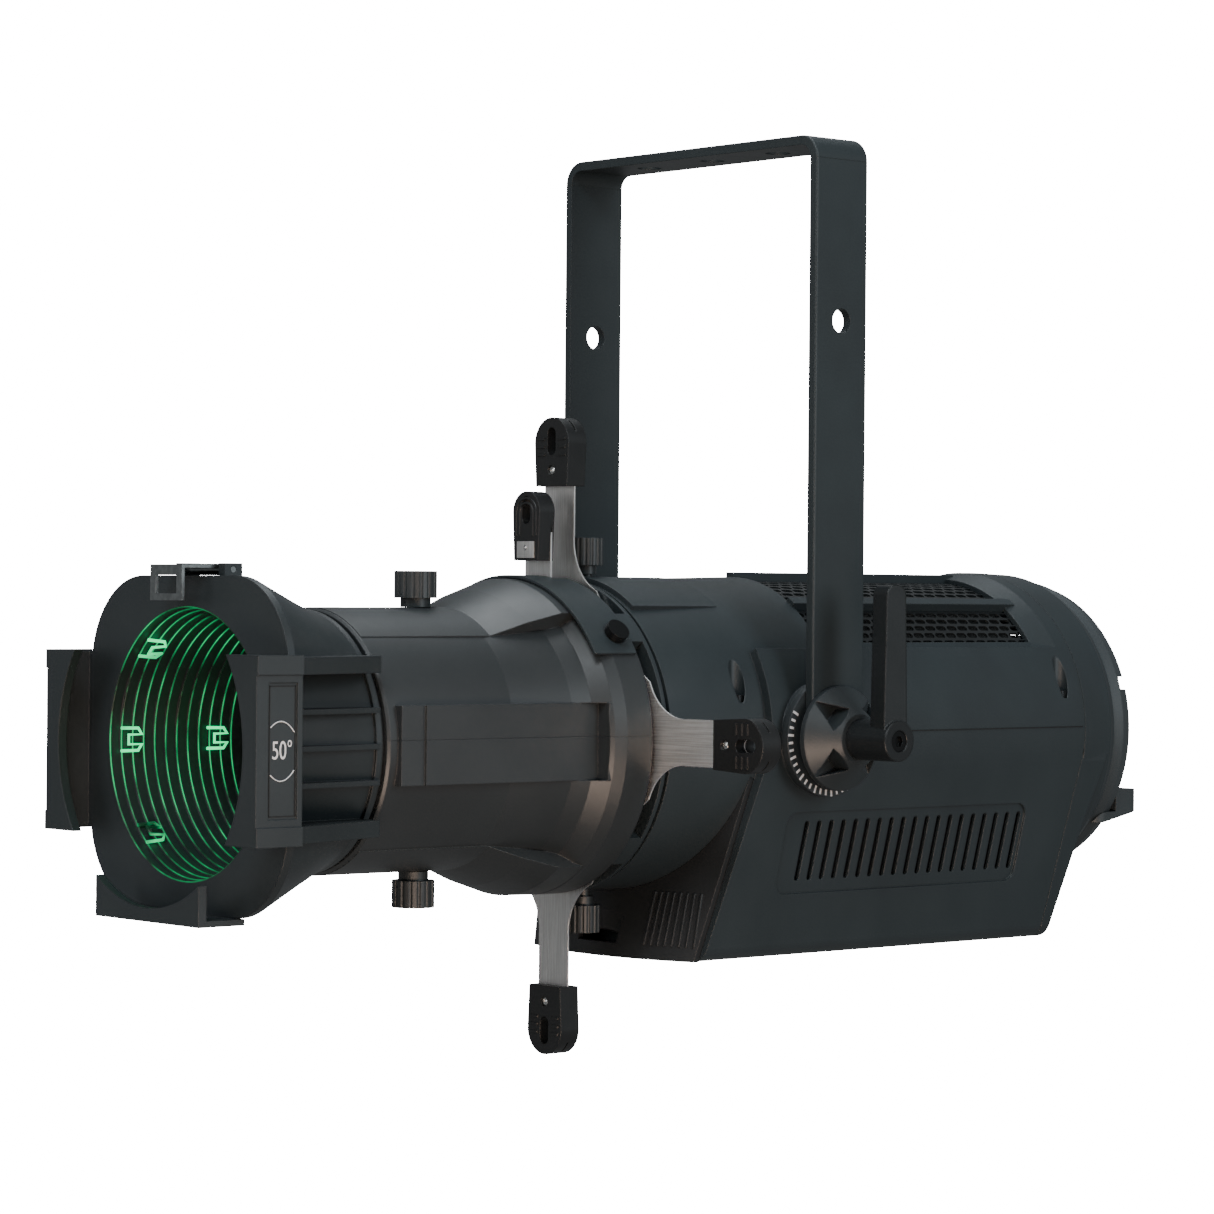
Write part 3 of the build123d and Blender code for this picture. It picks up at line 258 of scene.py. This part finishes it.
socket_blue = coated("socket_blue", (0.012, 0.040, 0.16), rough=(0.25, 0.4), edge=0.0004)
rubber = coated("button_rubber", (0.055, 0.058, 0.06), rough=(0.6, 0.75), edge=0.0005)

finishes = {
    body: "housing_upper housing_lower rear_cap gate_ring slot_cover safety_eye",
    barrel: "barrel_upper barrel_lower",
    tube: "lens_tube",
    yoke_paint: "yoke",
    plastic: "front_bezel",
    rear_plastic: "rear_bezel rear_handle",
    knob_plastic: (
        "focus_knob_top focus_knob_bottom rotation_knob_top rotation_knob_bottom data_sockets"
    ),
    lever_coat: "tilt_lever",
    hub_plastic: "clamp_hub tilt_disc_right tilt_disc_left",
    screw_black: "lever_screw pivot_bolt housing_screws thumb_screw_right thumb_screw_left",
    grip_plastic: (
        "shutter_top_grip shutter_bottom_grip shutter_right_grip shutter_left_grip pattern_grip"
    ),
    steel_upright: "shutter_top_blade shutter_bottom_blade pattern_holder pattern_disc",
    steel_level: "shutter_right_blade shutter_left_blade",
    plated: "frame_clip",
    aluminium: "pivot_bushes bearing_ring heat_sink light_tunnel lens_rings",
    lens_glass: "front_lens rear_lens condenser_lens",
    phosphor: "led_module",
    fan_black: "fan_frame fan_rotor",
    board: "power_supply",
    display: "display_window",
    mesh_paint: "vent_grille_right vent_grille_left",
    rubber: "menu_button_1 menu_button_2 menu_button_3 menu_button_4",
    socket_blue: "power_sockets",
}
finish_of = {name: mat for mat, names in finishes.items() for name in names.split()}
for name, obj in nodes.items():
    obj.data.materials.clear()
    obj.data.materials.append(finish_of[name])


# ---------------------------------------------------------------- making pieces
def piece(name, mesh_builder, mat, body_name, smooth=30.0):
    """Mesh piece from a bmesh, riding on a body."""
    data = bpy.data.meshes.new(name)
    bmesh.ops.recalc_face_normals(mesh_builder, faces=mesh_builder.faces)
    mesh_builder.to_mesh(data)
    mesh_builder.free()
    data.materials.append(mat)
    obj = bpy.data.objects.new(name, data)
    scene.collection.objects.link(obj)
    if smooth:
        data.polygons.foreach_set("use_smooth", [True] * len(data.polygons))
        data.set_sharp_from_angle(angle=math.radians(smooth))
    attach(obj, body_name)
    return obj


def add_box(bm, centre, size, rotation=None, bevel=0.0):
    """Box with softened edges added to a bmesh; sizes in metres."""
    made = bmesh.ops.create_cube(bm, size=1.0)
    verts = made["verts"]
    matrix = Matrix.Translation(centre) @ (rotation or Matrix()) @ Matrix.Diagonal((*size, 1.0))
    bmesh.ops.transform(bm, matrix=matrix, verts=verts)
    if bevel:
        edges = {edge for vert in verts for edge in vert.link_edges}
        bmesh.ops.bevel(
            bm, geom=list(edges), offset=bevel, segments=2, affect="EDGES", profile=0.7
        )


def wire(name, points, radius, mat, body_name):
    """Bent round wire through points, as a mesh."""
    curve = bpy.data.curves.new(name, "CURVE")
    curve.dimensions = "3D"
    curve.bevel_depth = radius
    curve.bevel_resolution = 2
    spline = curve.splines.new("POLY")
    spline.points.add(len(points) - 1)
    for point, place in zip(spline.points, points):
        point.co = (*place, 1.0)
    curve.use_fill_caps = True
    holder = bpy.data.objects.new(name, curve)
    scene.collection.objects.link(holder)
    bpy.context.view_layer.update()
    data = bpy.data.meshes.new_from_object(holder)
    bpy.data.objects.remove(holder)
    data.name = name
    data.materials.clear()
    data.materials.append(mat)
    obj = bpy.data.objects.new(name, data)
    scene.collection.objects.link(obj)
    data.polygons.foreach_set("use_smooth", [True] * len(data.polygons))
    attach(obj, body_name)
    return obj


def around(angle, radius, y):
    """Point at an angle off the vertical, towards +X, and a radius from the beam."""
    turn = math.radians(angle)
    return Vector((radius * math.sin(turn), y, AXIS_Z + radius * math.cos(turn)))


def flank_x(z):
    """Half width of the driver box at a height z from the axis: its sides lean inwards."""
    return 0.0848 + 0.194 * z


# ---------------------------------------------------------------- vent mesh
def vent_mesh(name, node, side):
    """Curved sheet with staggered oblong holes in place of the plain grille."""
    low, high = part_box(node)
    front, rear = low.y + 0.004, high.y - 0.002
    radius = high.z - AXIS_Z - 0.0002
    start, stop = 0.4, 55.5
    pitch_y, pitch_a = 0.0082, 0.0050
    rows = int(math.radians(stop - start) * radius / pitch_a)
    columns = int((rear - front) / pitch_y)
    bm = bmesh.new()
    steps = 12
    half_y, half_a = pitch_y / 2, pitch_a / 2
    hole_l, hole_r = 0.0019, 0.0017

    def place(u, v):
        return around(side * (start + math.degrees(v / radius)), radius, u)

    for row in range(rows):
        shift = half_y * (row % 2)
        for column in range(columns):
            cu = front + half_y + column * pitch_y + shift
            cv = half_a + row * pitch_a
            if cu + half_y > rear + 0.0005:
                continue
            outer, inner = [], []
            for step in range(steps):
                angle = 2 * math.pi * (step + 0.5) / steps
                cosine, sine = math.cos(angle), math.sin(angle)
                reach = 1 / max(abs(cosine), abs(sine))
                outer.append(
                    bm.verts.new(place(cu + half_y * cosine * reach, cv + half_a * sine * reach))
                )
                offset = hole_l if cosine > 0 else -hole_l
                inner.append(
                    bm.verts.new(place(cu + offset + hole_r * cosine, cv + hole_r * sine))
                )
            for step in range(steps):
                after = (step + 1) % steps
                bm.faces.new((outer[step], outer[after], inner[after], inner[step]))
    bmesh.ops.remove_doubles(bm, verts=bm.verts, dist=0.00002)
    obj = piece(name, bm, mesh_paint, "head", smooth=0)
    thick = obj.modifiers.new("thickness", "SOLIDIFY")
    thick.thickness = 0.0012
    thick.offset = -1 if side > 0 else 1
    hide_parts(node)


vent_mesh("vent_mesh_right", "vent_grille_right", 1)
vent_mesh("vent_mesh_left", "vent_grille_left", -1)

# ---------------------------------------------------------------- painted shade behind the vents
def ribbed_sheet(name, rows, columns, spot):
    """Dark sheet of painted shade whose columns stand in and out in turn; spot gives the place of a
    grid point.
    """
    bm = bmesh.new()
    grid = [
        [bm.verts.new(spot(row, column)) for column in range(columns + 1)]
        for row in range(rows + 1)
    ]
    for near, far in zip(grid, grid[1:]):
        for column in range(columns):
            bm.faces.new((near[column], near[column + 1], far[column + 1], far[column]))
    piece(name, bm, painted_shade, "head")


def under_mesh(row, column):
    """Point of the curved sheet under the vent mesh."""
    return around(
        -53.0 + 106.0 * row / 26, 0.0748 - 0.0006 * (column % 2), 0.017 + 0.1575 * column / 42
    )


# Painted shade: dark sheet under the vent mesh.
ribbed_sheet("vent_shade_sheet", 26, 42, under_mesh)

# Painted shade behind the louvres on each flank.
for place, sign in (("right", 1), ("left", -1)):
    def behind_louvres(row, column, side=sign):
        """Point of the sheet that follows the leaning flank behind the louvres."""
        z = -0.034 - 0.0065 * row
        x = side * (flank_x(z) - 0.0088 - 0.0008 * (column % 2))
        return x, -0.022 + 0.0046 * column, AXIS_Z + z

    ribbed_sheet(f"louvre_shade_sheet_{place}", 8, 42, behind_louvres)

# ---------------------------------------------------------------- tilt disc scale
TICK_R = 0.0277
disc_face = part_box("tilt_disc_right")[1].x
for place, sign in (("right", 1), ("left", -1)):
    ticks = bmesh.new()
    for number in range(27):
        angle = math.radians(62 + number * 8.0)
        centre = Vector((sign * (disc_face + 0.00005), 0, AXIS_Z))
        centre += TICK_R * Vector((0, -math.sin(angle), math.cos(angle)))
        length = 0.0040 if number % 3 == 0 else 0.0029
        turn = Matrix.Rotation(angle, 4, "X")
        add_box(ticks, centre, (0.0001, 0.00125, length), turn)
    piece(f"tilt_scale_{place}", ticks, white_ink, "head", smooth=0)


# ---------------------------------------------------------------- shutters
def screw(name, centre, normal, radius, mat, body_name):
    """Domed screw head with a cross recess."""
    bm = bmesh.new()
    profile = ((0.0, 0.42), (0.35, 0.40), (0.7, 0.30), (0.93, 0.14), (1.0, 0.0))
    count = 20
    rings = []
    for reach, height in profile[1:]:
        rings.append([
            bm.verts.new((
                radius * reach * math.cos(2 * math.pi * k / count),
                radius * reach * math.sin(2 * math.pi * k / count),
                radius * height,
            ))
            for k in range(count)
        ])
    for inner, outer in zip(rings, rings[1:]):
        for k in range(count):
            after = (k + 1) % count
            bm.faces.new((inner[k], outer[k], outer[after], inner[after]))
    well = [
        bm.verts.new((vert.co.x * 0.55, vert.co.y * 0.55, radius * (0.12 if k % 5 < 2 else 0.38)))
        for k, vert in enumerate(rings[0])
    ]
    for k in range(count):
        after = (k + 1) % count
        bm.faces.new((well[k], rings[0][k], rings[0][after], well[after]))
    bm.faces.new(well)
    bm.faces.new(list(reversed(rings[-1])))
    rotation = Vector(normal).to_track_quat("Z", "Y").to_matrix().to_4x4()
    bmesh.ops.transform(bm, matrix=Matrix.Translation(centre) @ rotation, verts=bm.verts)
    return piece(name, bm, mat, body_name)


for place, direction in (
    ("top", (0, 0, 1)), ("bottom", (0, 0, -1)), ("right", (1, 0, 0)), ("left", (-1, 0, 0)),
):
    low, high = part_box(f"shutter_{place}_grip")
    middle_y = (low.y + high.y) / 2
    out = Vector(direction)
    hole = Vector((0, middle_y, AXIS_Z)) + out * 0.135
    rivet = bmesh.new()
    bmesh.ops.create_cone(
        rivet, cap_ends=True, segments=20, radius1=0.00255, radius2=0.00255, depth=0.0104,
        matrix=Matrix.Translation(hole) @ Matrix.Rotation(math.pi / 2, 4, "X"),
    )
    piece(f"shutter_{place}_stud", rivet, bright_screw, f"shutter_{place}")
    for face, sign in (("front", -1), ("rear", 1)):
        screw(
            f"shutter_{place}_screw_{face}", hole + Vector((0, sign * 0.0050, 0)),
            (0, sign, 0), 0.0024, bright_screw, f"shutter_{place}",
        )

# ---------------------------------------------------------------- pattern holder grip
low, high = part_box("pattern_grip")
plate = bmesh.new()
add_box(plate, (0, low.y + 0.0002, AXIS_Z + 0.0945), (0.0135, 0.0014, 0.0085), bevel=0.0004)
piece("pattern_grip_plate", plate, steel_upright, "pattern_holder")
screw(
    "pattern_grip_screw", Vector((0, low.y - 0.0002, AXIS_Z + 0.0955)), (0, -1, 0), 0.0016,
    bright_screw, "pattern_holder",
)
for index, half in enumerate((0.0052, 0.0078)):
    rise = []
    for step in range(13):
        angle = math.pi * step / 12
        rise.append((half * math.cos(angle), AXIS_Z + 0.1135 + half * 0.9 * math.sin(angle)))
    outline = [(half, AXIS_Z + 0.1015), *rise, (-half, AXIS_Z + 0.1015)]
    wire(
        f"pattern_grip_rib_{index}", [(x, low.y + 0.0004, z) for x, z in outline],
        0.0008, grip_plastic, "pattern_holder",
    )

# ---------------------------------------------------------------- lens tube details
LABEL_RECESS = 0.0018       # depth of the label's panel in the side bracket
LABEL_Y = -0.339            # middle of the label, along the beam

for place, sign in (("right", 1), ("left", -1)):
    face = sign * (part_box("lens_tube")[1].x - LABEL_RECESS)
    # Painted shade: dark lines along the edges of the label's recessed panel, where its walls meet
    # the floor.
    recess_shade_lines = bmesh.new()
    for z in (-0.0295, 0.0295):
        add_box(recess_shade_lines, (face, LABEL_Y, AXIS_Z + z), (0.0006, 0.0148, 0.0005))
    for y in (-0.3462, -0.3318):
        add_box(recess_shade_lines, (face, y, AXIS_Z), (0.0006, 0.0005, 0.0594))
    piece(f"label_recess_shade_{place}", recess_shade_lines, painted_shade, "lens_tube", smooth=0)
    for lift in (-1, 1):
        arc = []
        for step in range(15):
            t = -1 + 2 * step / 14
            arc.append((
                face + sign * 0.0002,
                LABEL_Y + sign * t * 0.0066,
                AXIS_Z + lift * (0.0135 - 0.0038 * t * t) - lift * 0.001 * t,
            ))
        wire(f"label_arc_{place}_{'up' if lift > 0 else 'low'}", arc, 0.00028, white_ink,
             "lens_tube")
    words = bpy.data.curves.new(f"label_angle_{place}", "FONT")
    words.body = "50°"
    words.size = 0.0118
    words.align_x = "CENTER"
    words.align_y = "CENTER"
    words.extrude = 0.00008
    holder = bpy.data.objects.new(f"label_source_{place}", words)
    scene.collection.objects.link(holder)
    holder.matrix_world = (
        Matrix.Translation((face + sign * 0.0001, LABEL_Y, AXIS_Z))
        @ Matrix.Rotation(sign * math.pi / 2, 4, "Z")
        @ Matrix.Rotation(math.pi / 2, 4, "X")
        @ Matrix.Diagonal((0.72, 1.0, 1.0, 1.0))
    )
    bpy.context.view_layer.update()
    data = bpy.data.meshes.new_from_object(holder)
    data.transform(holder.matrix_world)
    bpy.data.objects.remove(holder)
    data.materials.clear()
    data.materials.append(white_ink)
    numeral = bpy.data.objects.new(f"label_angle_{place}", data)
    scene.collection.objects.link(numeral)
    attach(numeral, "lens_tube")

# Ridges of the stepped bore, with a painted green glow where the beam would light them.
OPENING_R = 0.065
STEP_PITCH = 0.006
STEP_TAPER = 0.00065        # radius lost at each step of the bore
for number in range(12):
    y = -0.332 + number * STEP_PITCH
    radius = OPENING_R - number * STEP_TAPER - 0.0002
    points = [around(angle * 5.0, radius, y + 0.0003) for angle in range(73)]
    wire(f"bore_ridge_glow_{number}", points, 0.00034, ridge_beam_glow, "lens_tube")

# Filter clips inside the bore, drawn as wires with a painted green glow where the beam would light
# them.
CLIP_SPOTS = (
    (-45, -0.3215, 0.0633), (-90, -0.3215, 0.0633), (-135, -0.3215, 0.0633),
    (45, -0.3215, 0.0633), (90, -0.3215, 0.0633), (135, -0.3215, 0.0633),
    (-90, -0.2745, 0.0585), (90, -0.2745, 0.0585),
)
for number, (angle, centre_y, bore) in enumerate(CLIP_SPOTS):
    points = []
    for da, dy, dr in (
        (-5.0, -0.005, 0.0), (-5.0, 0.004, -0.0012), (-2.2, 0.006, -0.0016),
        (-2.2, -0.002, -0.0022), (2.2, -0.002, -0.0022), (2.2, 0.006, -0.0016),
        (5.0, 0.004, -0.0012), (5.0, -0.005, 0.0),
    ):
        points.append(around(angle + da, bore + dr, centre_y + dy))
    wire(f"filter_clip_{number}", points, 0.0008, clip_beam_glow, "lens_tube")

# ---------------------------------------------------------------- front bezel
LEAN = 0.028 / BOX_DEPTH    # of the bezel's edge, per unit of height
ribs = bmesh.new()


def bezel_face(x, z):
    """Place along the beam of the bowed face of the bezel."""
    reach = flank_x(z) - 0.003
    sag = 1 - (x / reach) ** 2
    swell = 0.0035 + (0.006 - 0.011 * z / BOX_DEPTH - 0.0035) * sag
    return -0.034 + LEAN * z - swell


for number in range(8):
    x, z = 0.0335 + number * 0.0040, -0.0925
    lean = (bezel_face(x, z + 0.010) - bezel_face(x, z - 0.010)) / 0.020
    turn = Matrix.Rotation(-math.atan(lean), 4, "X")
    place = (x, bezel_face(x, z), AXIS_Z + z)
    add_box(ribs, place, (0.0017, 0.0026, 0.028), turn, bevel=0.0006)
for number in range(5):
    x, z = -0.022 - number * 0.0042, -0.101
    add_box(ribs, (x, bezel_face(x, z), AXIS_Z + z), (0.0016, 0.0024, 0.0075), bevel=0.0005)
piece("bezel_ribs", ribs, plastic, "head")

# ---------------------------------------------------------------- seam lines and small screws
# Seam lines: thin dark strips of painted shade along the join of the two housing halves.
seams = bmesh.new()
for sign in (-1, 1):
    add_box(seams, (sign * 0.08615, 0.100, AXIS_Z + 0.0025), (0.0004, 0.196, 0.0006))
piece("housing_seam", seams, painted_shade, "head", smooth=0)

for number, (x, z) in enumerate(((-58, 50), (58, 50), (-62, -20), (62, -20), (0, 58), (0, -42))):
    screw(
        f"panel_screw_{number}", Vector((x / 1000, 0.2380, AXIS_Z + z / 1000)), (0, 1, 0), 0.0027,
        screw_black, "head",
    )

digits = bmesh.new()
for column, lit in enumerate(("abcdef", "abcdef", "bc")):
    centre_x = 0.016 - column * 0.016
    spots = {
        "a": (0, 0.0075, 0.008, 0.0013), "d": (0, -0.0075, 0.008, 0.0013),
        "b": (-0.0045, 0.0038, 0.0013, 0.0064), "c": (-0.0045, -0.0038, 0.0013, 0.0064),
        "f": (0.0045, 0.0038, 0.0013, 0.0064), "e": (0.0045, -0.0038, 0.0013, 0.0064),
    }
    for letter in lit:
        dx, dz, width, height = spots[letter]
        add_box(
            digits, (centre_x + dx, 0.23755, AXIS_Z + 0.038 + dz), (width, 0.0001, height)
        )
piece("display_digits", digits, glowing("display_light", (0.25, 0.75, 1.0), 2.2), "head",
      smooth=0)

# ---------------------------------------------------------------- stage and light
floor_mesh = bpy.data.meshes.new("floor")
floor_mesh.from_pydata(
    [(-14, -14, -0.78), (14, -14, -0.78), (14, 14, -0.78), (-14, 14, -0.78)], [], [(0, 1, 2, 3)]
)
floor = bpy.data.objects.new("floor", floor_mesh)
scene.collection.objects.link(floor)
floor_mesh.materials.append(
    coated("pale_floor", (0.86, 0.86, 0.86), rough=(0.8, 0.9), edge=0.0, strength=0.02)
)
paper = floor_mesh.materials[0].node_tree.nodes["Principled BSDF"]
paper.inputs["Emission Color"].default_value = (1, 1, 1, 1)
paper.inputs["Emission Strength"].default_value = WHITE
paper.inputs["Specular IOR Level"].default_value = 0.0

sky_mesh = bpy.data.meshes.new("backdrop")
sky_builder = bmesh.new()
bmesh.ops.create_uvsphere(sky_builder, u_segments=48, v_segments=24, radius=16.0)
sky_builder.to_mesh(sky_mesh)
sky_builder.free()
sky = bpy.data.objects.new("backdrop", sky_mesh)
scene.collection.objects.link(sky)
sky_mesh.materials.append(glowing("backdrop_white", (1.0, 1.0, 1.0), WHITE, scale=0.01))
for stage in (sky, floor):
    stage.visible_diffuse = False
    stage.visible_glossy = False
    stage.visible_transmission = False
sky.visible_shadow = False

world = bpy.data.worlds.new("studio")
scene.world = world
world.use_nodes = True
world.node_tree.nodes["Background"].inputs["Color"].default_value = (0.93, 0.97, 1, 1)
world.node_tree.nodes["Background"].inputs["Strength"].default_value = 0.22


def softbox(name, place, target, size, power, colour=(1, 1, 1)):
    """Rectangular area light aimed at a point."""
    data = bpy.data.lights.new(name, "AREA")
    data.shape = "RECTANGLE"
    data.size, data.size_y = size
    data.energy = power
    data.color = colour
    light = bpy.data.objects.new(name, data)
    scene.collection.objects.link(light)
    aim = (Vector(target) - Vector(place)).to_track_quat("-Z", "Y").to_matrix().to_4x4()
    light.matrix_world = Matrix.Translation(place) @ aim
    return light


softbox("key", (1.0, -1.7, 1.7), (0, 0, AXIS_Z), (1.1, 0.8), 38, (0.90, 0.96, 1.0))
softbox("side", (2.4, 0.4, 0.4), (0, 0.1, AXIS_Z), (0.7, 1.5), 26, (0.86, 0.95, 1.0))
softbox("top", (-0.3, 0.2, 1.5), (0, 0, AXIS_Z), (0.8, 1.6), 22, (0.92, 0.97, 1.0))
softbox("front", (-0.4, -2.6, 0.2), (0, -0.2, AXIS_Z), (1.0, 1.2), 12)
softbox("warm_bounce", (0.9, -0.7, -0.76), (0, -0.2, AXIS_Z), (0.9, 0.5), 15, (1.0, 0.74, 0.58))
beam_light = softbox(
    "beam_spill", (0, -0.262, AXIS_Z), (0, -1.0, AXIS_Z), (0.06, 0.06), 0.006, (0.02, 1.0, 0.28)
)
beam_light.data.shape = "DISK"
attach(beam_light, "lens_tube")
